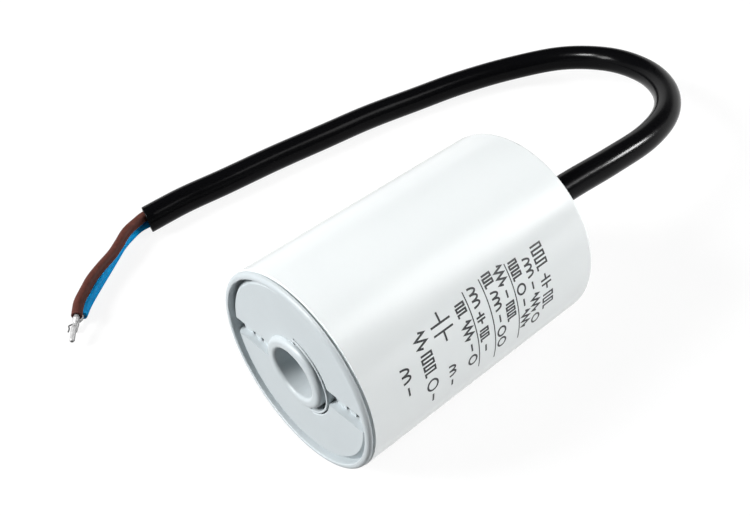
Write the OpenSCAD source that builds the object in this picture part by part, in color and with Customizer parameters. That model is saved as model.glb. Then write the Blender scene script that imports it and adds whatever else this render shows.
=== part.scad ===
// Motor capacitor in a moulded plastic case, lying on its side.
// +X runs along the case towards the cable, +Z is up, and the surface it lies on is z = 0.
// Pieces of the case are drawn in an axis frame: local z is the depth behind the lid's rim, local x is down.

/* [Case] */
// Outside diameter of the case
case_d = 40; // [34:0.5:50]
// Length from the lid's rim to the outside of the back wall
case_len = 57; // [50:0.5:80]
// Thickness of the case's side wall
case_wall = 1; // [0.8:0.1:1.4]
// Thickness of the case's back wall
back_wall = 1.8; // [1.2:0.1:3]
// Radius of the rounded edge at the back
back_round = 1; // [0.4:0.1:1.5]
// Half width of the groove at the joint between lid and case
joint_bevel = 0.25; // [0.1:0.05:0.4]
// Depth of that groove
joint_depth = 0.6; // [0.2:0.05:0.7]

/* [Cable entry] */
// Length of the collar that stands out of the back wall
collar_len = 2.8; // [2:0.1:6]
// Wall of the collar at its outer end
collar_wall = 1.4; // [1:0.1:2.5]
// How much the collar's foot is wider than its outer end, on the radius
collar_flare = 0.8; // [0.2:0.1:2]

/* [Lid] */
// Step from the case down to the lid's rim, on the radius
rim_step = 0.1; // [0:0.05:0.3]
// Thickness of the rim in front of the joint
rim_t = 1.1; // [0.8:0.1:2]
// Radius of the rim's rounded outer edge
rim_round = 0.8; // [0.3:0.05:1]
// Radius of the small rounds on the lid's other edges
edge_round = 0.2; // [0.1:0.05:0.3]
// Wall between the outer groove and the case
groove_wall = 0.3; // [0.2:0.05:0.8]
// Width of the sloped border between pads and rim
groove_w = 1.05; // [0.6:0.05:1.4]
// How far the two raised pads lie below the rim
pad_drop = 0.75; // [0.4:0.05:1.2]
// How far the floor of the slot lies below the rim
floor_drop = 2.2; // [1.6:0.1:3]
// How far the floor of the boss's groove and of the slot's two ends lies below the rim
groove_drop = 3.4; // [3.1:0.1:4]
// Thickness of the lid's web under that
web_t = 1.2; // [0.8:0.1:1.6]
// Width of the slot across the lid
slot_w = 3.8; // [2.5:0.1:6]
// Turn of the slot from level
slot_turn = 7.5; // [-20:0.5:20]
// Length of the skirt inside the case
skirt_len = 5.5; // [3:0.5:9]
// Wall of the skirt
skirt_wall = 1.4; // [0.8:0.1:2]
// Distance of the slot's two arched slits from the axis
slit_at = 13.3; // [12.5:0.1:14]
// Width of an arch
slit_span = 3.3; // [2.5:0.1:4]
// How far an arch rises from the slot's lower wall
slit_rise = 1.6; // [1:0.1:2]
// Width of the slit itself
slit_w = 0.8; // [0.4:0.05:0.9]
// Thickness of the slot's floor round the slits
slit_t = 0.3; // [0.2:0.05:0.6]

/* [Fixing boss] */
// Outside diameter of the boss
boss_d = 14.6; // [13:0.1:16]
// Radius of the boss's rounded outer edge
boss_round = 0.9; // [0.2:0.05:0.95]
// How far the boss stands in front of the rim
boss_proud = 0.2; // [0:0.05:1]
// Width of the groove round the boss, which is open on the right
boss_gap = 0.85; // [0.5:0.05:1.5]
// Thickness of the thin lip that stands along that groove
lip_w = 0.4; // [0.3:0.05:1]
// Height of that lip over the pads
lip_h = 0.15; // [0.1:0.05:0.4]
// Gap between the lip and the pads
lip_gap = 0.25; // [0.15:0.05:0.5]
// Turn of the groove and its lip round the boss
lip_turn = 155; // [90:5:170]
// Diameter of the fixing bore
bore_d = 10.2; // [8:0.1:10.5]
// Depth of the fixing bore from the boss's face
bore_depth = 10; // [7:0.5:14]
// Radius of the rounded mouth of the bore
bore_round = 0.7; // [0.2:0.05:0.95]
// Thickness of the floor under the bore
boss_floor = 1.5; // [1:0.1:3]

/* [Wound element] */
// Resin between the winding and the case's wall
resin_gap = 1.5; // [0.8:0.1:3]
// Outside diameter of the winding's core tube
core_tube_d = 9; // [8:0.5:12]
// Wall of the core tube
core_tube_wall = 1; // [0.6:0.1:1.4]
// Thickness of the sprayed metal on each end of the winding
spray_t = 0.6; // [0.3:0.05:1]
// Bare margin of the winding's ends beside the sprayed metal
spray_margin = 0.4; // [0.2:0.1:1]
// Room for the front lead between boss and winding
front_room = 3.7; // [3.2:0.1:6]
// Room for the leads between winding and back wall
rear_room = 7; // [6:0.1:10]

/* [Leads] */
// Bend radius of the inner leads
lead_bend = 2; // [1.5:0.1:2.6]
// Distance of the solder joints from the axis
solder_at = 10.5; // [9.5:0.1:11]
// Diameter of a solder joint
solder_d = 4.6; // [3.5:0.1:5]
// Height of a solder joint
solder_h = 2.4; // [2.1:0.1:2.8]
// Bare wire that shows between insulation and solder
strip_gap = 0.3; // [0.1:0.1:1]

/* [Cable] */
// Diameter of the sheathed cable
cable_d = 6.2; // [5.6:0.1:7]
// Diameter of an insulated core
core_d = 2.3; // [2:0.05:2.5]
// Diameter of a tinned strand bundle
strand_d = 1.1; // [0.8:0.05:1.3]
// Length of sheath that reaches inside the back wall
root_len = 1.7; // [1:0.1:2.5]

/* [Hidden] */
$fn = 96;
// Clearance between pieces that fit in one another
fit_gap = 0.05;
// Overshoot of a cutting solid past the face it opens
cut = 1;
// Largest share of the boss's wall that one of its two rounds takes
round_share = 0.45;
// Sides of the swept cable, and of the thinner cores and strands
cable_sides = 12;
core_sides = 8;

case_r = case_d / 2;
case_in_r = case_r - case_wall;
back_in = case_len - back_wall;
cable_r = cable_d / 2;
collar_end = case_len + collar_len;
overall_len = boss_proud + collar_end;
front_x = boss_proud - overall_len / 2;
exit_x = front_x + collar_end;

rim_r = case_r - rim_step;
rim_edge = min(rim_round, rim_t - joint_bevel);
skirt_r = case_in_r - fit_gap;
rim_in_r = skirt_r - groove_wall;
pad_r = rim_in_r - groove_w;
boss_r = boss_d / 2;
bore_r = bore_d / 2;
boss_edge = min(boss_round, round_share * (boss_r - bore_r));
bore_edge = min(bore_round, round_share * (boss_r - bore_r));
lip_r = boss_r + boss_gap;
pad_in_r = lip_r + lip_w + lip_gap;
web_back = groove_drop + web_t;
boss_end = bore_depth + boss_floor - boss_proud;

wound_r = case_in_r - resin_gap;
tube_r = core_tube_d / 2;
front_face = boss_end + front_room;
rear_face = back_in - rear_room;
resin_front = boss_end + fit_gap;
core_off = (core_d + fit_gap) / 2;
root_end = back_in - root_len;
front_run = front_face - core_d / 2 - fit_gap;
rear_run = rear_face + core_d / 2 + fit_gap;
strip_at = solder_at - solder_d / 2 - strip_gap;
solder_ball = (pow(solder_d / 2, 2) + pow(solder_h, 2)) / (2 * solder_h);

// Route of the free cable from the collar, over the table and back beside the case
cable_route = [
    [exit_x, 0, case_r], [44, 0, 20], [58, -0.5, 19.5], [72, 0, 18.5], [84.5, 3.5, 17], [94.5, 10.5, 15],
    [101, 20.5, 12.5], [102, 32, 10], [96.5, 43, 7.5], [85.5, 51.5, 5], [72, 57, 3.8], [58, 60.5, 3.1],
    [44, 63, 3.1], [30, 64.5, 3.1], [16, 66, 3.1], [2, 67, 3.1], [-9, 68, 3.1], [-19, 68, 3.1]
];
// Routes of the two stripped cores: the brown one lies on the blue one
brown_route = [
    [-19, 68.2, 4.3], [-21.5, 67.9, 4.1], [-25, 67, 3.8], [-28.2, 65, 3.6], [-31, 63.2, 3.6],
    [-34.5, 61.6, 3.6], [-38.2, 59.7, 3.6], [-41, 57.7, 3.5], [-43.8, 55.4, 3.5], [-46, 52.5, 3.5]
];
blue_route = [
    [-19, 68.3, 1.9], [-21.5, 68.6, 1.5], [-24.5, 67.8, 1.2], [-27.4, 66.4, 1.2], [-30.6, 64.2, 1.2],
    [-33.8, 62, 1.2], [-37, 59.8, 1.2], [-40, 57.7, 1.2], [-42.5, 55.8, 1.2], [-44.5, 54, 1.2]
];
// Routes of the tinned ends past the insulation
brown_tip_route = [[-46, 52.5, 3.5], [-47, 51.4, 3.3], [-48.5, 49.8, 2.8], [-50, 48, 2.3]];
blue_tip_route = [[-44.5, 54, 1.2], [-45.8, 53.2, 1.1], [-46.9, 52.4, 0.9], [-47.9, 51.4, 0.7]];

function unit(v) = v / norm(v);
function route_dirs(p, first, last) = [
    for (i = [0 : len(p) - 1]) i == 0 ? first : i == len(p) - 1 ? last : unit(p[i + 1] - p[i - 1])
];
function end_dir(p) = unit(p[len(p) - 1] - p[len(p) - 2]);
// Points of one ring round p, square to the direction t, its first point the lowest
function ring_points(p, t, r, sides) =
    let (u = unit(cross([0, 0, 1], t)), v = cross(t, u))
    [for (k = [0 : sides - 1]) let (a = 360 * k / sides - 90) p + r * (cos(a) * u + sin(a) * v)];

// Solid swept along a route, with flat ends square to the given directions
module swept(p, first, last, d, sides) {
    n = len(p);
    t = route_dirs(p, first, last);
    points = [for (i = [0 : n - 1]) each ring_points(p[i], t[i], d / 2, sides)];
    walls = [
        for (i = [0 : n - 2], k = [0 : sides - 1])
            let (a = i * sides + k, b = i * sides + (k + 1) % sides)
            each [[a, a + sides, b + sides], [a, b + sides, b]]
    ];
    first_cap = [for (k = [0 : sides - 1]) k];
    last_cap = [for (k = [sides - 1 : -1 : 0]) (n - 1) * sides + k];
    polyhedron(points = points, faces = concat([first_cap], walls, [last_cap]));
}

// Places children drawn in the axis frame
module on_axis() {
    translate([front_x, 0, case_r]) rotate([0, 90, 0]) children();
}

module disc(r, from, to) {
    translate([0, 0, from]) cylinder(r = r, h = to - from);
}

module ring(r_in, r_out, from, to) {
    difference() {
        disc(r_out, from, to);
        disc(r_in, from - cut, to + cut);
    }
}

// What a round takes off the corner of a profile at the origin
module corner(r) {
    difference() {
        translate([-cut, -cut]) square(r + cut);
        translate([r, r]) circle(r = r);
    }
}

// Ring, or part of a turn of one, whose two front edges are rounded
module soft_ring(r_in, r_out, from, to, round_in, round_out, turn = 360) {
    rotate_extrude(angle = turn) difference() {
        translate([r_in, from]) square([r_out - r_in, to - from]);
        translate([r_in, from]) corner(round_in);
        translate([r_out, from]) mirror([1, 0]) corner(round_out);
    }
}

// Outside of the case: bevelled at the joint, rounded at the back
module case_outside() {
    translate([0, 0, rim_t]) cylinder(r1 = case_r - joint_depth, r2 = case_r, h = joint_bevel);
    disc(case_r, rim_t + joint_bevel, case_len - back_round);
    rotate_extrude() {
        translate([0, case_len - back_round]) square([case_r - back_round, back_round]);
        intersection() {
            translate([case_r - back_round, case_len - back_round]) circle(r = back_round);
            translate([case_r - back_round, case_len - back_round]) square(back_round);
        }
    }
    collar_r = cable_r + fit_gap + collar_wall;
    translate([0, 0, case_len]) cylinder(r1 = collar_r + collar_flare, r2 = collar_r, h = collar_len);
}

module case() {
    color("white") on_axis() difference() {
        case_outside();
        disc(case_in_r, rim_t - cut, back_in);
        disc(cable_r + fit_gap, back_in - cut, collar_end + cut);
    }
}

// Prism along the slot, from in front of the pads down to a depth
module slot_prism(to) {
    translate([-slot_w / 2, -case_r, pad_drop - cut]) cube([slot_w, case_d, to - pad_drop + cut]);
}

// Raised half-round pads on both sides of the slot: they slope down to the rim and reach the boss on the left
module lid_pads() {
    under = groove_drop + web_t / 2;
    slope_in = edge_round * (1 - sqrt(0.5));
    slope_end = pad_drop + groove_w + 2 * slope_in;
    difference() {
        union() {
            soft_ring(pad_in_r, pad_r, pad_drop, under, edge_round, edge_round);
            rotate_extrude() polygon([
                [pad_r - slope_in, pad_drop + slope_in], [rim_in_r, slope_end],
                [rim_in_r, under], [pad_r - slope_in, under]
            ]);
            rotate([0, 0, 180 + lip_turn]) rotate_extrude(angle = 360 - lip_turn)
                translate([boss_r - boss_edge, pad_drop])
                    square([pad_in_r + edge_round - boss_r + boss_edge, under - pad_drop]);
        }
        rotate([0, 0, -slot_turn]) {
            slot_prism(floor_drop);
            difference() {
                slot_prism(groove_drop);
                disc(pad_r, 0, web_back);
            }
        }
    }
    rotate([0, 0, 180])
        soft_ring(lip_r, lip_r + lip_w, pad_drop - lip_h, under, lip_w / 3, lip_w / 3, lip_turn);
}

// Boss with its blind bore, open at the front
module lid_boss() {
    difference() {
        union() {
            soft_ring(bore_r, boss_r, -boss_proud, bore_depth - boss_proud, bore_edge, boss_edge);
            disc(boss_r, bore_depth - boss_proud, boss_end);
        }
        disc(bore_r, -boss_proud - cut, bore_depth - boss_proud);
    }
}

// Arched slit in the slot's floor beside its lower wall, with a pocket behind that leaves the floor thin
module lid_slit() {
    wall_x = slot_w / 2;
    difference() {
        translate([wall_x - slit_rise, slit_at - slit_span / 2, floor_drop - cut])
            cube([slit_rise, slit_span, slit_t + 2 * cut]);
        translate([wall_x - slit_rise + slit_w, slit_at - slit_span / 2 + slit_w, floor_drop - 2 * cut])
            cube([slit_rise, slit_span - 2 * slit_w, slit_t + 4 * cut]);
    }
    translate([-wall_x, slit_at - slit_span / 2 - slit_w, floor_drop + slit_t])
        cube([slot_w + slit_w, slit_span + 2 * slit_w, web_back]);
}

module end_lid() {
    color("gainsboro") on_axis() difference() {
        union() {
            soft_ring(rim_in_r, rim_r, 0, rim_t - joint_bevel, edge_round, rim_edge);
            rotate_extrude() polygon([
                [rim_in_r, rim_t - joint_bevel], [rim_r, rim_t - joint_bevel],
                [rim_r - joint_depth, rim_t], [rim_in_r, rim_t]
            ]);
            ring(rim_in_r, skirt_r, rim_t, web_back);
            ring(skirt_r - skirt_wall, skirt_r, groove_drop, rim_t + skirt_len);
            ring(boss_r - edge_round, skirt_r, groove_drop, web_back);
            lid_pads();
            lid_boss();
        }
        rotate([0, 0, -slot_turn]) {
            lid_slit();
            mirror([0, 1, 0]) lid_slit();
        }
    }
}

module film_winding() {
    color("lightsteelblue") on_axis()
        ring(tube_r + fit_gap, wound_r, front_face + spray_t, rear_face - spray_t);
}

module winding_core() {
    color("ivory") on_axis() ring(tube_r - core_tube_wall, tube_r, front_face, rear_face);
}

module sprayed_end(from) {
    ring(tube_r + spray_margin, wound_r - spray_margin, from, from + spray_t);
}

module front_contact() {
    color("darkgray") on_axis() sprayed_end(front_face);
}

module rear_contact() {
    color("darkgray") on_axis() sprayed_end(rear_face - spray_t);
}

// Inner lead that comes from the cable, turns off the axis and lies on a sprayed end
module lead(run, grow) {
    bend_at = run + lead_bend;
    translate([-core_off, 0, bend_at]) cylinder(d = core_d + 2 * grow, h = root_end - bend_at);
    translate([-core_off - lead_bend, 0, bend_at]) rotate([90, 0, 0]) rotate([0, 0, -90])
        rotate_extrude(angle = 90) translate([lead_bend, 0]) circle(d = core_d + 2 * grow);
    translate([-core_off - lead_bend, 0, run]) rotate([0, -90, 0]) {
        cylinder(d = core_d + 2 * grow, h = strip_at - core_off - lead_bend);
        cylinder(d = strand_d + 2 * grow, h = solder_at - core_off - lead_bend);
    }
}

module brown_lead() {
    color("saddlebrown") on_axis() lead(front_run, 0);
}

module blue_lead() {
    color("dodgerblue") on_axis() mirror([1, 0, 0]) lead(rear_run, 0);
}

// Dome of solder that stands on a face and grows towards +z
module solder_dome(grow) {
    intersection() {
        translate([0, 0, solder_h - solder_ball]) sphere(r = solder_ball + grow);
        disc(solder_d / 2 + grow, -grow, solder_h + grow);
    }
}

module front_dome(grow) {
    translate([-solder_at, 0, front_face]) mirror([0, 0, 1]) solder_dome(grow);
}

module rear_dome(grow) {
    translate([solder_at, 0, rear_face]) solder_dome(grow);
}

module front_solder() {
    color("silver") on_axis() difference() {
        front_dome(0);
        lead(front_run, fit_gap);
    }
}

module rear_solder() {
    color("silver") on_axis() difference() {
        rear_dome(0);
        mirror([1, 0, 0]) lead(rear_run, fit_gap);
    }
}

// Resin poured round the wound element, its leads and the cable's end
module potting_resin() {
    color("khaki") on_axis() difference() {
        disc(case_in_r - fit_gap, resin_front, back_in);
        disc(wound_r + fit_gap, front_face - fit_gap, rear_face + fit_gap);
        lead(front_run, fit_gap);
        mirror([1, 0, 0]) lead(rear_run, fit_gap);
        front_dome(fit_gap);
        rear_dome(fit_gap);
        disc(cable_r + fit_gap, root_end - fit_gap, back_in + cut);
    }
}

// End of the sheathed cable that the collar and the resin hold
module cable_root() {
    color("dimgray") on_axis() disc(cable_r, root_end, collar_end);
}

module cable_sheath() {
    color("black") swept(cable_route, [1, 0, 0], end_dir(cable_route), cable_d, cable_sides);
}

module brown_core() {
    color("saddlebrown")
        swept(brown_route, end_dir(cable_route), end_dir(brown_route), core_d, core_sides);
}

module blue_core() {
    color("dodgerblue")
        swept(blue_route, end_dir(cable_route), end_dir(blue_route), core_d, core_sides);
}

module brown_strands() {
    color("silver")
        swept(brown_tip_route, end_dir(brown_route), end_dir(brown_tip_route), strand_d, core_sides);
}

module blue_strands() {
    color("silver")
        swept(blue_tip_route, end_dir(blue_route), end_dir(blue_tip_route), strand_d, core_sides);
}

case();
end_lid();
film_winding();
winding_core();
front_contact();
rear_contact();
front_solder();
rear_solder();
brown_lead();
blue_lead();
potting_resin();
cable_root();
cable_sheath();
brown_core();
blue_core();
brown_strands();
blue_strands();
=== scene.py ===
"""Looks of a motor capacitor: white moulded case and lid, black cable, stripped brown and blue cores."""
import math

import bmesh
import bpy
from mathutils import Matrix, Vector


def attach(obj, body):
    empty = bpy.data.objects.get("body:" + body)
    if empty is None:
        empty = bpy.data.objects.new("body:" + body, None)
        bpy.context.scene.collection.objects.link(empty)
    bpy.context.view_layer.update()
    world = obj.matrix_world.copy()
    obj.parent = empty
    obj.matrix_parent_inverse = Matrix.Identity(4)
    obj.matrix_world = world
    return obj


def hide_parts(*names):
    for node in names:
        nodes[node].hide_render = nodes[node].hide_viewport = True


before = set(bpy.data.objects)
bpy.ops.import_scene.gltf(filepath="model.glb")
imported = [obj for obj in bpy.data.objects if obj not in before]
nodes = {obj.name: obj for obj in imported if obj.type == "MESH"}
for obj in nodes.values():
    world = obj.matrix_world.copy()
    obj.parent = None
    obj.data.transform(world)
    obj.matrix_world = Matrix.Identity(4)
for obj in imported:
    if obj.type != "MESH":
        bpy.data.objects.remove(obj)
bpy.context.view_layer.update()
MM = 0.001

# Camera at the photograph's place, in metres and degrees, for a picture of 750 by 516
CAMERA_AT = (-0.08844, -0.08603, 0.15193)
CAMERA_PITCH = 44.91
CAMERA_HEADING = -42.17
CAMERA_LENS = 45.99
CAMERA_SENSOR = 36.0
CAMERA_CLIP = 0.01

# Case and cable, in millimetres as in the part's source
CASE_R = 20.0
CABLE_D = 6.2
SHEATH_IN_D = 4.7
CORE_D = 2.3
CONDUCTOR_D = 1.5

# The free cable's route and those of the cores and their tinned ends, as in the part's source
CABLE_ROUTE = [
    (30, 0, 20), (44, 0, 20), (58, -0.5, 19.5), (72, 0, 18.5), (84.5, 3.5, 17), (94.5, 10.5, 15),
    (101, 20.5, 12.5), (102, 32, 10), (96.5, 43, 7.5), (85.5, 51.5, 5), (72, 57, 3.8), (58, 60.5, 3.1),
    (44, 63, 3.1), (30, 64.5, 3.1), (16, 66, 3.1), (2, 67, 3.1), (-9, 68, 3.1), (-19, 68, 3.1),
]
BROWN_ROUTE = [
    (-19, 68.2, 4.3), (-21.5, 67.9, 4.1), (-25, 67, 3.8), (-28.2, 65, 3.6), (-31, 63.2, 3.6),
    (-34.5, 61.6, 3.6), (-38.2, 59.7, 3.6), (-41, 57.7, 3.5), (-43.8, 55.4, 3.5), (-46, 52.5, 3.5),
]
BLUE_ROUTE = [
    (-19, 68.3, 1.9), (-21.5, 68.6, 1.5), (-24.5, 67.8, 1.2), (-27.4, 66.4, 1.2), (-30.6, 64.2, 1.2),
    (-33.8, 62, 1.2), (-37, 59.8, 1.2), (-40, 57.7, 1.2), (-42.5, 55.8, 1.2), (-44.5, 54, 1.2),
]
BROWN_TIP_ROUTE = [(-46, 52.5, 3.5), (-47, 51.4, 3.3), (-48.5, 49.8, 2.8), (-50, 48, 2.3)]
BLUE_TIP_ROUTE = [(-44.5, 54, 1.2), (-45.8, 53.2, 1.1), (-46.9, 52.4, 0.9), (-47.9, 51.4, 0.7)]

# Steps of a line between two points of its route, and sides of the tube along it
CABLE_STEPS = 8
CABLE_SIDES = 48
CORE_STEPS = 6
CORE_SIDES = 28
TIP_STEPS = 16
TIP_SIDES = 54
STRAY_STEPS = 6
STRAY_SIDES = 12

# How far the cores reach back inside the sheath's open end, their shift to the side there, and how far the
# wires reach back inside the cores
CORE_HIDDEN = 6.0
CORE_SHIFT = -0.2
WIRE_HIDDEN = 1.2
# The sheath's cut isn't square: how far it leans forward for each millimetre along X, Y and Z
SHEATH_CUT = (0, -0.27, 0.14)
# Hollow end of a cut tube: size of its edge, depth of a core's hollow, and the small ring that closes the
# hollow's floor, as a share of its width
SHEATH_EDGE = 0.2
CORE_EDGE = 0.1
CORE_HOLLOW = 1.5
HOLLOW_FLOOR = 0.05
# Rounds at the cut's outer and inner edge, as shares of the edge: forward, then inward or outward
OUTER_ROUND = [(0.5, 0.15), (0.85, 0.5), (1, 1)]
INNER_ROUND = [(1, 0.5), (0.6, 0)]

# Tinned end of a core: its radius at shares of its length, and the twisted strands that show through
TIP_PROFILE = [
    (0, 0.5), (0.05, 0.6), (0.18, 0.7), (0.3, 0.6), (0.4, 0.4), (0.47, 0.43), (0.56, 0.55), (0.94, 0.55),
    (0.985, 0.45), (1, 0.3),
]
TIP_RIDGES = 9
TIP_RIDGE_H = 0.014
TIP_TWIST = 3.0
# One strand that stands off the brown end: share of the end's length, and how far out to the side
STRAY_STRAND = [(0.42, 0.2), (0.45, 0.8), (0.5, 1.15), (0.58, 0.95), (0.68, 1.05)]
STRAY_D = 0.3
STRAY_SIDE = (-0.74, 0.67, 0)
# The strand's blunt end: a step forward and its radius
STRAY_END = (0.06, 0.09)

# Print on the case: its rows run round the case from a turn off the top, its upper edge points to the cable
PRINT_TURN = 46.0
# A printed line's width, its height above the case and its depth below it, and its longest step
INK_LINE = 0.38
INK_LIFT = 0.02
INK_STEP = 0.5
# The outer edge of a line's corner is drawn out no further than this cosine of half its bend asks for
CORNER_LIMIT = 0.4
MARK_GAP = 1.1
# Each row: its foot along the case, height, start round the case, and its marks with their counts
PRINT_ROWS = [
    (12.8, 2.5, 0.8, [("pulse", 3), ("plates", 1), ("pulse", 2)]),
    (9.8, 1.9, 1.8, [("coil", 3), ("dash", 1), ("zigzag", 3), ("ring", 1)]),
    (7.0, 1.9, 0.8, [("pulse", 3), ("ring", 1), ("dash", 1), ("zigzag", 3)]),
    (3.6, 1.9, 0, [("zigzag", 3), ("dash", 1), ("pulse", 3)]),
    (0.8, 1.9, 0, [("pulse", 2), ("coil", 3), ("dash", 1), ("ring", 2)]),
    (-3.3, 1.9, 0.4, [("coil", 3), ("plates", 1), ("pulse", 2), ("dash", 1)]),
    (-6.6, 1.9, 1.6, [("pulse", 2), ("zigzag", 3), ("dash", 1), ("ring", 1)]),
    (-12.6, 4.4, 0.4, [("plates", 1)]),
    (-11.6, 1.8, 11.0, [("coil", 2), ("dash", 1)]),
    (-16.4, 2.3, 1.6, [("zigzag", 2), ("pulse", 3), ("ring", 1), ("dash", 1)]),
    (-21.4, 2.1, 5.4, [("coil", 2), ("dash", 1)]),
]
# Thin rules between the rows: place along the case, start and length
PRINT_RULES = [(6.3, 0.4, 16.4), (0.1, 0, 17.2), (-4.0, 0.2, 16.2)]
RULE_LINE = 0.22
# Proportions of the marks, as shares of the row's height
WAVE_W = 0.62
COIL_FOOT = 0.15
COIL_H = 0.8
RING_PITCH = 1.35
PLATE_LEAD = 0.45
PLATE_SLIT = 0.35
DASH_W = 0.8
# Steps of a coil's half round and of a circle
COIL_STEPS = 10
RING_STEPS = 20

# The part of the noise's range that colours and finishes are spread over
NOISE_LOW = 0.3
NOISE_HIGH = 0.7
# Darker spots of a metal, as a share of its colour, and the tint of its gloss at the edges
METAL_SPOTS = 0.82
METAL_EDGE = (0.5, 0.5, 0.5, 1)

# Round floor in metres: its flat part, and the rise of its far edge, so that no view looks past it
FLOOR_R = 3.0
FLOOR_RISE = 1.0
FLOOR_RISE_STEPS = 12
FLOOR_SIDES = 96
# The floor's own white near the part and far from it, and where the one ends and the other starts
FLOOR_NEAR_WHITE = 0.88
FLOOR_FAR_WHITE = 1.0
FLOOR_NEAR = 0.3
FLOOR_FAR = 0.9

# The point that the lamps are turned to, and the weak light from all round
LAMP_AIM = Vector((0.02, 0.02, 0.015))
WORLD_LIGHT = 0.01


# Materials

def shader_of(material):
    return material.node_tree.nodes["Principled BSDF"]


def new_material(name, **sockets):
    """A material with one principled shader; sockets are its inputs by name, with _ for a space."""
    material = bpy.data.materials.new(name)
    material.use_nodes = True
    for socket, value in sockets.items():
        shader_of(material).inputs[socket.replace("_", " ")].default_value = value
    return material


def add_node(material, kind, **values):
    """A node of that kind, with its properties and inputs by name, with _ for a space in an input's name."""
    node = material.node_tree.nodes.new(kind)
    for key, value in values.items():
        if hasattr(node, key):
            setattr(node, key, value)
        else:
            node.inputs[key.replace("_", " ")].default_value = value
    return node


def link(material, source, target):
    material.node_tree.links.new(source, target)


def noise(material, per_mm, detail=2.0, stretch=(1, 1, 1)):
    """Noise with that many waves a millimetre, in the object's own metres."""
    place = add_node(material, "ShaderNodeTexCoord")
    scale = add_node(material, "ShaderNodeMapping", Scale=stretch)
    texture = add_node(material, "ShaderNodeTexNoise", Scale=per_mm / MM, Detail=detail)
    link(material, place.outputs["Object"], scale.inputs["Vector"])
    link(material, scale.outputs["Vector"], texture.inputs["Vector"])
    return texture.outputs["Fac"]


def vary_roughness(material, fac, low, high):
    """Drives the shader's roughness between two values."""
    spread = add_node(
        material, "ShaderNodeMapRange", From_Min=NOISE_LOW, From_Max=NOISE_HIGH, To_Min=low, To_Max=high)
    link(material, fac, spread.inputs["Value"])
    link(material, spread.outputs["Result"], shader_of(material).inputs["Roughness"])


def tint(material, fac, dark, light):
    """Drives the base colour between two colours."""
    ramp = add_node(material, "ShaderNodeValToRGB")
    first, last = ramp.color_ramp.elements
    first.position = NOISE_LOW
    last.position = NOISE_HIGH
    first.color = (*dark, 1)
    last.color = (*light, 1)
    link(material, fac, ramp.inputs["Fac"])
    link(material, ramp.outputs["Color"], shader_of(material).inputs["Base Color"])


def bump(material, fac, height_mm):
    """Surface relief of that height."""
    relief = add_node(material, "ShaderNodeBump", Strength=1.0, Distance=height_mm * MM)
    link(material, fac, relief.inputs["Height"])
    link(material, relief.outputs["Normal"], shader_of(material).inputs["Normal"])


def case_material():
    material = new_material("case_plastic", Specular_IOR_Level=0.32)
    broad = noise(material, per_mm=0.05)
    fine = noise(material, per_mm=6.0, detail=3.0)
    tint(material, broad, dark=(0.806, 0.84, 0.844), light=(0.826, 0.86, 0.863))
    vary_roughness(material, broad, low=0.21, high=0.25)
    bump(material, fine, height_mm=0.004)
    return material


def lid_material():
    material = new_material("lid_plastic", Specular_IOR_Level=0.25)
    broad = noise(material, per_mm=0.12)
    fine = noise(material, per_mm=4.0, detail=4.0)
    # Partly painted shade: the lid's grey is partly its plastic's own cooler tone. It is also made darker
    # than that plastic so that its recesses come out in deeper shade, and the key lamp is strong enough to
    # bring its open faces back up.
    tint(material, broad, dark=(0.51, 0.556, 0.576), light=(0.532, 0.58, 0.6))
    vary_roughness(material, fine, low=0.36, high=0.5)
    bump(material, fine, height_mm=0.008)
    return material


def cable_material():
    material = new_material("cable_pvc", Base_Color=(0.003, 0.003, 0.0035, 1), Specular_IOR_Level=0.055)
    skin = noise(material, per_mm=1.2, detail=3.0)
    vary_roughness(material, skin, low=0.16, high=0.22)
    bump(material, skin, height_mm=0.003)
    return material


def core_material(name, dark, light):
    material = new_material(name, Specular_IOR_Level=0.07)
    skin = noise(material, per_mm=0.6)
    tint(material, skin, dark, light)
    vary_roughness(material, skin, low=0.5, high=0.6)
    bump(material, skin, height_mm=0.01)
    return material


def metal_material(name, colour, low, high, grain, relief=0.02, metallic=1.0):
    """Metal with that colour and roughness from low to high; grain is in waves a millimetre."""
    material = new_material(name, Metallic=metallic, Specular_Tint=METAL_EDGE)
    skin = noise(material, per_mm=grain, detail=4.0)
    tint(material, skin, dark=tuple(METAL_SPOTS * c for c in colour), light=colour)
    vary_roughness(material, skin, low, high)
    bump(material, skin, height_mm=relief)
    return material


def plain_material(name, dark, light, roughness, grain, relief):
    """For pieces that stay inside the closed case."""
    material = new_material(name, Roughness=roughness)
    skin = noise(material, per_mm=grain, detail=3.0)
    tint(material, skin, dark, light)
    bump(material, skin, height_mm=relief)
    return material


def winding_material():
    """Wound film: fine lines along the axis that read as the edges of the turns."""
    material = new_material("winding_film", Roughness=0.25, Metallic=0.6)
    turns = noise(material, per_mm=3.0, stretch=(0.05, 1, 1))
    tint(material, turns, dark=(0.5, 0.54, 0.58), light=(0.68, 0.72, 0.76))
    bump(material, turns, height_mm=0.02)
    return material


def ink_material():
    material = new_material("print_ink", Roughness=0.5)
    wear = noise(material, per_mm=3.0, detail=4.0)
    tint(material, wear, dark=(0.012, 0.013, 0.015), light=(0.035, 0.037, 0.041))
    return material


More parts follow.
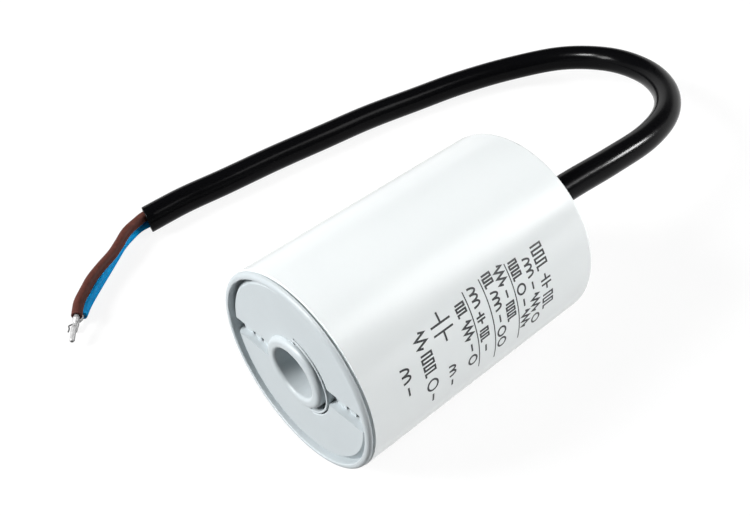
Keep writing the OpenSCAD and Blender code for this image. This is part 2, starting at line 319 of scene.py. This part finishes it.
MATERIALS = {
    "case": case_material(),
    "lid": lid_material(),
    "cable": cable_material(),
    "brown": core_material("brown_insulation", dark=(0.094, 0.031, 0.023), light=(0.122, 0.041, 0.032)),
    "blue": core_material("blue_insulation", dark=(0.003, 0.36, 0.84), light=(0.004, 0.42, 0.94)),
    "tin": metal_material(
        "tinned_copper", (0.37, 0.37, 0.37), low=0.5, high=0.65, grain=2.0, relief=0.008, metallic=0.55),
    "dark_tin": metal_material("dark_wire", (0.09, 0.09, 0.09), low=0.6, high=0.75, grain=2.0),
    "zinc": metal_material("sprayed_zinc", (0.6, 0.61, 0.63), low=0.45, high=0.7, grain=1.5),
    "solder": metal_material("solder", (0.7, 0.71, 0.73), low=0.2, high=0.35, grain=0.8),
    "film": winding_material(),
    "tube": plain_material(
        "core_plastic", dark=(0.72, 0.7, 0.62), light=(0.8, 0.78, 0.7),
        roughness=0.5, grain=0.8, relief=0.01),
    "resin": plain_material(
        "resin", dark=(0.52, 0.45, 0.28), light=(0.64, 0.57, 0.38),
        roughness=0.35, grain=0.2, relief=0.03),
    "ink": ink_material(),
}

NODE_MATERIALS = {
    "case": "case", "end_lid": "lid", "film_winding": "film", "winding_core": "tube", "front_contact": "zinc",
    "rear_contact": "zinc", "front_solder": "solder", "rear_solder": "solder", "brown_lead": "brown",
    "blue_lead": "blue", "potting_resin": "resin", "cable_root": "cable",
}
for node_name, material_name in NODE_MATERIALS.items():
    mesh = nodes[node_name].data
    mesh.materials.clear()
    mesh.materials.append(MATERIALS[material_name])


# Meshes

def new_piece(name, bm, material, smooth=True):
    """Makes a piece of the part from a bmesh drawn in metres."""
    mesh = bpy.data.meshes.new(name)
    bm.normal_update()
    bm.to_mesh(mesh)
    bm.free()
    for polygon in mesh.polygons:
        polygon.use_smooth = smooth
    mesh.materials.append(material)
    piece = bpy.data.objects.new(name, mesh)
    bpy.context.scene.collection.objects.link(piece)
    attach(piece, "root")
    return piece


def spline(points, steps):
    """Smooth line through the points, in metres, with that many steps between two of them."""
    p = [Vector(q) * MM for q in points]
    p = [2 * p[0] - p[1], *p, 2 * p[-1] - p[-2]]
    line = []
    for i in range(1, len(p) - 2):
        a, b, c, d = p[i - 1:i + 3]
        for k in range(steps):
            t = k / steps
            line.append(0.5 * (2 * b + (c - a) * t + (2 * a - 5 * b + 4 * c - d) * t ** 2
                               + (3 * b - a - 3 * c + d) * t ** 3))
    line.append(p[-2])
    return line


def directions(line):
    """Unit direction of the line at each of its points."""
    last = len(line) - 1
    return [(line[min(i + 1, last)] - line[max(i - 1, 0)]).normalized() for i in range(len(line))]


def side_frames(line):
    """Two unit vectors square to the line at each point, which turn as little as they can along it."""
    along = directions(line)
    side = Vector((0, 0, 1)).cross(along[0]).normalized()
    frames = []
    for t in along:
        side = (side - t * side.dot(t)).normalized()
        frames.append((side, t.cross(side)))
    return frames


def add_ring(bm, centre, frame_pair, radius, sides):
    """Ring of points round a centre, in the plane of two unit vectors."""
    u, v = frame_pair
    angles = [2 * math.pi * k / sides for k in range(sides)]
    return [bm.verts.new(centre + radius * (math.cos(a) * u + math.sin(a) * v)) for a in angles]


def skin_rings(bm, rings):
    """Faces between each ring and the next."""
    for lower, upper in zip(rings, rings[1:]):
        n = len(lower)
        for k in range(n):
            bm.faces.new((lower[k], lower[(k + 1) % n], upper[(k + 1) % n], upper[k]))


def add_tube(bm, line, radius, sides, end_rings=()):
    """Tube along a line; end_rings are (step forward, radius) past its last point, closed by a cap."""
    frames = side_frames(line)
    rings = [add_ring(bm, p, f, radius, sides) for p, f in zip(line, frames)]
    forward = directions(line)[-1]
    for step, r in end_rings:
        rings.append(add_ring(bm, line[-1] + forward * step, frames[-1], r, sides))
    skin_rings(bm, rings)
    bm.faces.new(list(reversed(rings[0])))
    bm.faces.new(rings[-1])
    return rings


def hollow_end(outer_d, inner_d, edge, depth):
    """End rings of a cut tube: a small round on the outer edge, the cut face, and the hollow behind it."""
    outer = outer_d / 2
    inner = inner_d / 2
    rings = [(edge * forward, outer - edge * inward) for forward, inward in OUTER_ROUND]
    rings += [(edge * forward, inner + edge * outward) for forward, outward in INNER_ROUND]
    rings += [(-depth, inner), (-depth, HOLLOW_FLOOR * inner)]
    return [(step * MM, radius * MM) for step, radius in rings]


def make_sheath():
    """The cable, whose cut end leans; the floor of its hollow stays square."""
    line = spline(CABLE_ROUTE, CABLE_STEPS)
    bm = bmesh.new()
    mouth = hollow_end(CABLE_D, SHEATH_IN_D, SHEATH_EDGE, CORE_HIDDEN)
    rings = add_tube(bm, line, CABLE_D / 2 * MM, CABLE_SIDES, mouth)
    forward = directions(line)[-1]
    for ring in rings[-len(mouth) - 1:-2]:
        for vert in ring:
            vert.co += forward * Vector(SHEATH_CUT).dot(vert.co - line[-1])
    piece = new_piece("cable", bm, MATERIALS["cable"])
    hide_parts("cable_sheath")
    return piece, line


def make_core(name, route, colour, node):
    """An insulated core, from inside the sheath's end to its own hollow end."""
    x, y, z = route[0]
    line = spline([(x + CORE_HIDDEN, y + CORE_SHIFT, z), *route], CORE_STEPS)
    bm = bmesh.new()
    add_tube(bm, line, CORE_D / 2 * MM, CORE_SIDES, hollow_end(CORE_D, CONDUCTOR_D, CORE_EDGE, CORE_HOLLOW))
    piece = new_piece(name, bm, MATERIALS[colour])
    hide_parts(node)
    return piece


def tip_radius(share):
    """Radius of a tinned end in millimetres, with soft steps between the points of its profile."""
    for (a, r_a), (b, r_b) in zip(TIP_PROFILE, TIP_PROFILE[1:]):
        if share <= b:
            t = (share - a) / (b - a)
            return r_a + (r_b - r_a) * t * t * (3 - 2 * t)
    return TIP_PROFILE[-1][1]


def make_tip(name, route, node, stray=()):
    """Twisted and tinned wire end: a drop of tin at the insulation, a waist, and a stub; the stub's end face
    and the stray strand are drawn in a dark metal.
    """
    line = spline(route, TIP_STEPS)
    frames = side_frames(line)
    last = len(line) - 1
    bm = bmesh.new()
    inside = line[0] - directions(line)[0] * WIRE_HIDDEN * MM
    rings = [add_ring(bm, inside, frames[0], TIP_PROFILE[0][1] * MM, TIP_SIDES)]
    for i, (p, (u, v)) in enumerate(zip(line, frames)):
        share = i / last
        ring = []
        for k in range(TIP_SIDES):
            a = 2 * math.pi * k / TIP_SIDES
            r = (tip_radius(share) + TIP_RIDGE_H * math.cos(TIP_RIDGES * a + TIP_TWIST * share)) * MM
            ring.append(bm.verts.new(p + r * (math.cos(a) * u + math.sin(a) * v)))
        rings.append(ring)
    skin_rings(bm, rings)
    bm.faces.new(list(reversed(rings[0])))
    tinned = set(bm.faces)
    bm.faces.new(rings[-1])
    if stray:
        side = Vector(STRAY_SIDE)
        points = [line[round(share * last)] / MM + side * out for share, out in stray]
        end = tuple(value * MM for value in STRAY_END)
        add_tube(bm, spline(points, STRAY_STEPS), STRAY_D / 2 * MM, STRAY_SIDES, [end])
    # The end face and the stray strand get the dark metal, the rest the tinned one
    for face in bm.faces:
        face.material_index = 0 if face in tinned else 1
    piece = new_piece(name, bm, MATERIALS["tin"])
    piece.data.materials.append(MATERIALS["dark_tin"])
    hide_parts(node)
    return piece


cable, cable_line = make_sheath()
brown_core = make_core("brown_core_insulated", BROWN_ROUTE, "brown", "brown_core")
blue_core = make_core("blue_core_insulated", BLUE_ROUTE, "blue", "blue_core")
brown_tip = make_tip("brown_tinned_end", BROWN_TIP_ROUTE, "brown_strands", STRAY_STRAND)
blue_tip = make_tip("blue_tinned_end", BLUE_TIP_ROUTE, "blue_strands")


# Print

def on_case(u, v, lift):
    """Point of the print, u round the case and v along it, at a lift off its surface, all in millimetres."""
    a = math.radians(PRINT_TURN) + u / CASE_R
    r = CASE_R + lift
    return Vector((v, -r * math.sin(a), CASE_R + r * math.cos(a))) * MM


def short_steps(points):
    """The same line with no step longer than INK_STEP, so that it can follow the case."""
    line = [Vector(points[0])]
    for a, b in zip(points, points[1:]):
        a = Vector(a)
        b = Vector(b)
        n = max(1, math.ceil((b - a).length / INK_STEP))
        line += [a.lerp(b, k / n) for k in range(1, n + 1)]
    return line


def add_stroke(bm, points, width=INK_LINE, closed=False):
    """Printed line along points of the print: a thin closed strip, half sunk in the case."""
    line = short_steps([*points, points[0]] if closed else points)
    if closed:
        line.pop()
    last = len(line) - 1
    rings = []
    for i, p in enumerate(line):
        before = p - line[i - 1] if i > 0 or closed else line[1] - p
        after = line[(i + 1) % len(line)] - p if i < last or closed else p - line[i - 1]
        along = (before.normalized() + after.normalized()).normalized()
        reach = width / 2 / max(along.dot(after.normalized()), CORNER_LIMIT)
        side = Vector((-along.y, along.x)) * reach
        corners = [(p + side, INK_LIFT), (p - side, INK_LIFT), (p - side, -INK_LIFT), (p + side, -INK_LIFT)]
        rings.append([bm.verts.new(on_case(q.x, q.y, lift)) for q, lift in corners])
    skin_rings(bm, [*rings, rings[0]] if closed else rings)
    if not closed:
        bm.faces.new(list(reversed(rings[0])))
        bm.faces.new(rings[-1])


def arc(u, v, r_u, r_v, turn, steps):
    """Points of a round about a centre, from its left end over its top, through that turn."""
    angles = [math.pi - turn * k / steps for k in range(steps + 1)]
    return [(u + r_u * math.cos(a), v + r_v * math.sin(a)) for a in angles]


# Each mark has its left end at u, its foot at v and a height h, and gives back its width

def add_pulse(bm, count, u, v, h):
    """Square waves."""
    step = WAVE_W * h
    points = [(u, v)]
    for k in range(count):
        left = u + k * step
        points += [(left, v + h), (left + step / 2, v + h), (left + step / 2, v), (left + step, v)]
    add_stroke(bm, points)
    return count * step


def add_zigzag(bm, count, u, v, h):
    """A resistor's zigzag."""
    step = WAVE_W * h
    middle = v + h / 2
    points = [(u, middle)]
    for k in range(count):
        left = u + k * step
        points += [(left + step / 4, v + h), (left + 3 * step / 4, v)]
    add_stroke(bm, [*points, (u + count * step, middle)])
    return count * step


def add_coil(bm, count, u, v, h):
    """A coil's turns, as half rounds in a row."""
    step = WAVE_W * h
    for k in range(count):
        middle = u + (k + 0.5) * step
        add_stroke(bm, arc(middle, v + COIL_FOOT * h, step / 2, COIL_H * h, math.pi, COIL_STEPS))
    return count * step


def add_circles(bm, count, u, v, h):
    """Circles in a row."""
    for k in range(count):
        points = arc(u + (k * RING_PITCH + 0.5) * h, v + h / 2, h / 2, h / 2, 2 * math.pi, RING_STEPS)
        add_stroke(bm, points[:-1], closed=True)
    return (RING_PITCH * (count - 1) + 1) * h


def add_plates(bm, count, u, v, h):
    """A capacitor's two plates with their leads, as often as count says."""
    width = (2 * PLATE_LEAD + PLATE_SLIT) * h
    middle = v + h / 2
    for k in range(count):
        start = u + k * width
        first = start + PLATE_LEAD * h
        second = first + PLATE_SLIT * h
        add_stroke(bm, [(start, middle), (first, middle)])
        add_stroke(bm, [(first, v), (first, v + h)])
        add_stroke(bm, [(second, v), (second, v + h)])
        add_stroke(bm, [(second, middle), (start + width, middle)])
    return count * width


def add_dash(bm, count, u, v, h):
    """A dash, as many times its width as count says."""
    width = count * DASH_W * h
    middle = v + h / 2
    add_stroke(bm, [(u, middle), (u + width, middle)])
    return width


MARKS = {
    "pulse": add_pulse, "zigzag": add_zigzag, "coil": add_coil, "ring": add_circles, "plates": add_plates,
    "dash": add_dash,
}


def make_print():
    """Plain rows of circuit marks in dark ink."""
    bm = bmesh.new()
    for foot, height, start, marks in PRINT_ROWS:
        u = start
        for kind, count in marks:
            u += MARKS[kind](bm, count, u, foot, height) + MARK_GAP
    for place, start, length in PRINT_RULES:
        add_stroke(bm, [(start, place), (start + length, place)], RULE_LINE)
    bmesh.ops.recalc_face_normals(bm, faces=bm.faces)
    new_piece("case_print", bm, MATERIALS["ink"], smooth=False)


make_print()


# Floor, light and camera

def floor_material():
    """Pale floor that keeps a soft shadow, and is white to the camera and in gloss."""
    material = new_material(
        "floor_white", Base_Color=(0.15, 0.15, 0.15, 1), Roughness=0.9, Specular_IOR_Level=0.0,
        Emission_Color=(1, 1, 1, 1))
    rays = add_node(material, "ShaderNodeLightPath")
    mirrored = add_node(material, "ShaderNodeMath", operation="MAXIMUM")
    link(material, rays.outputs["Is Glossy Ray"], mirrored.inputs[0])
    link(material, rays.outputs["Is Transmission Ray"], mirrored.inputs[1])
    seen = add_node(material, "ShaderNodeMath", operation="MAXIMUM")
    link(material, rays.outputs["Is Camera Ray"], seen.inputs[0])
    link(material, mirrored.outputs[0], seen.inputs[1])
    place = add_node(material, "ShaderNodeTexCoord")
    away = add_node(material, "ShaderNodeVectorMath", operation="LENGTH")
    link(material, place.outputs["Object"], away.inputs[0])
    white = add_node(
        material, "ShaderNodeMapRange", From_Min=FLOOR_NEAR, From_Max=FLOOR_FAR,
        To_Min=FLOOR_NEAR_WHITE, To_Max=FLOOR_FAR_WHITE)
    link(material, away.outputs["Value"], white.inputs["Value"])
    glow = add_node(material, "ShaderNodeMath", operation="MULTIPLY")
    link(material, seen.outputs[0], glow.inputs[0])
    link(material, white.outputs["Result"], glow.inputs[1])
    link(material, glow.outputs[0], shader_of(material).inputs["Emission Strength"])
    return material


def make_floor():
    """Flat round floor whose far edge curves up."""
    bm = bmesh.new()
    flat = (Vector((1, 0, 0)), Vector((0, 1, 0)))
    rings = []
    for k in range(FLOOR_RISE_STEPS + 1):
        a = math.pi / 2 * k / FLOOR_RISE_STEPS
        height = Vector((0, 0, FLOOR_RISE * (1 - math.cos(a))))
        rings.append(add_ring(bm, height, flat, FLOOR_R + FLOOR_RISE * math.sin(a), FLOOR_SIDES))
    bm.faces.new(rings[0])
    skin_rings(bm, list(reversed(rings)))
    mesh = bpy.data.meshes.new("floor")
    bm.to_mesh(mesh)
    bm.free()
    mesh.materials.append(floor_material())
    floor = bpy.data.objects.new("floor", mesh)
    bpy.context.scene.collection.objects.link(floor)


def make_lamp(name, heading, height, distance, size, watts, mirrored=True, shines=True):
    """Soft lamp; heading and height are the angles at which it is seen from the part."""
    a = math.radians(heading)
    e = math.radians(height)
    away = Vector((math.cos(a) * math.cos(e), math.sin(a) * math.cos(e), math.sin(e)))
    light = bpy.data.lights.new(name, "AREA")
    light.shape = "RECTANGLE"
    light.size, light.size_y = size
    light.energy = watts
    lamp = bpy.data.objects.new(name, light)
    lamp.location = LAMP_AIM + away * distance
    lamp.rotation_euler = away.to_track_quat("Z", "Y").to_euler()
    lamp.visible_glossy = mirrored
    lamp.visible_diffuse = shines
    bpy.context.scene.collection.objects.link(lamp)


def make_lamps():
    """One key lamp, two that fill the sides, and three that draw the streaks on the case and the cable."""
    make_lamp("lamp_key", heading=152, height=32, distance=0.9, size=(0.3, 0.3), watts=11.3)
    make_lamp("lamp_fill", heading=85, height=40, distance=0.9, size=(0.4, 0.4), watts=0.7, mirrored=False)
    make_lamp("lamp_right", heading=-41, height=46, distance=0.8, size=(0.24, 0.42), watts=2.2)
    make_lamp("lamp_side", heading=-45, height=10, distance=0.8, size=(0.8, 0.25), watts=6.2, mirrored=False)
    make_lamp("lamp_over", heading=167, height=54, distance=0.9, size=(0.18, 0.18), watts=17.0, shines=False)
    make_lamp("lamp_back", heading=-28, height=28, distance=0.8, size=(0.14, 0.12), watts=7.0, shines=False)


def make_world():
    world = bpy.data.worlds.new("studio")
    world.use_nodes = True
    background = world.node_tree.nodes["Background"]
    background.inputs["Color"].default_value = (1, 1, 1, 1)
    background.inputs["Strength"].default_value = WORLD_LIGHT
    bpy.context.scene.world = world


def make_camera():
    data = bpy.data.cameras.new("camera")
    data.lens = CAMERA_LENS
    data.sensor_width = CAMERA_SENSOR
    data.clip_start = CAMERA_CLIP
    camera = bpy.data.objects.new("camera", data)
    camera.location = CAMERA_AT
    camera.rotation_euler = (math.radians(CAMERA_PITCH), 0, math.radians(CAMERA_HEADING))
    bpy.context.scene.collection.objects.link(camera)
    bpy.context.scene.camera = camera


make_floor()
make_world()
make_lamps()
make_camera()
bpy.context.scene.view_settings.view_transform = "Standard"
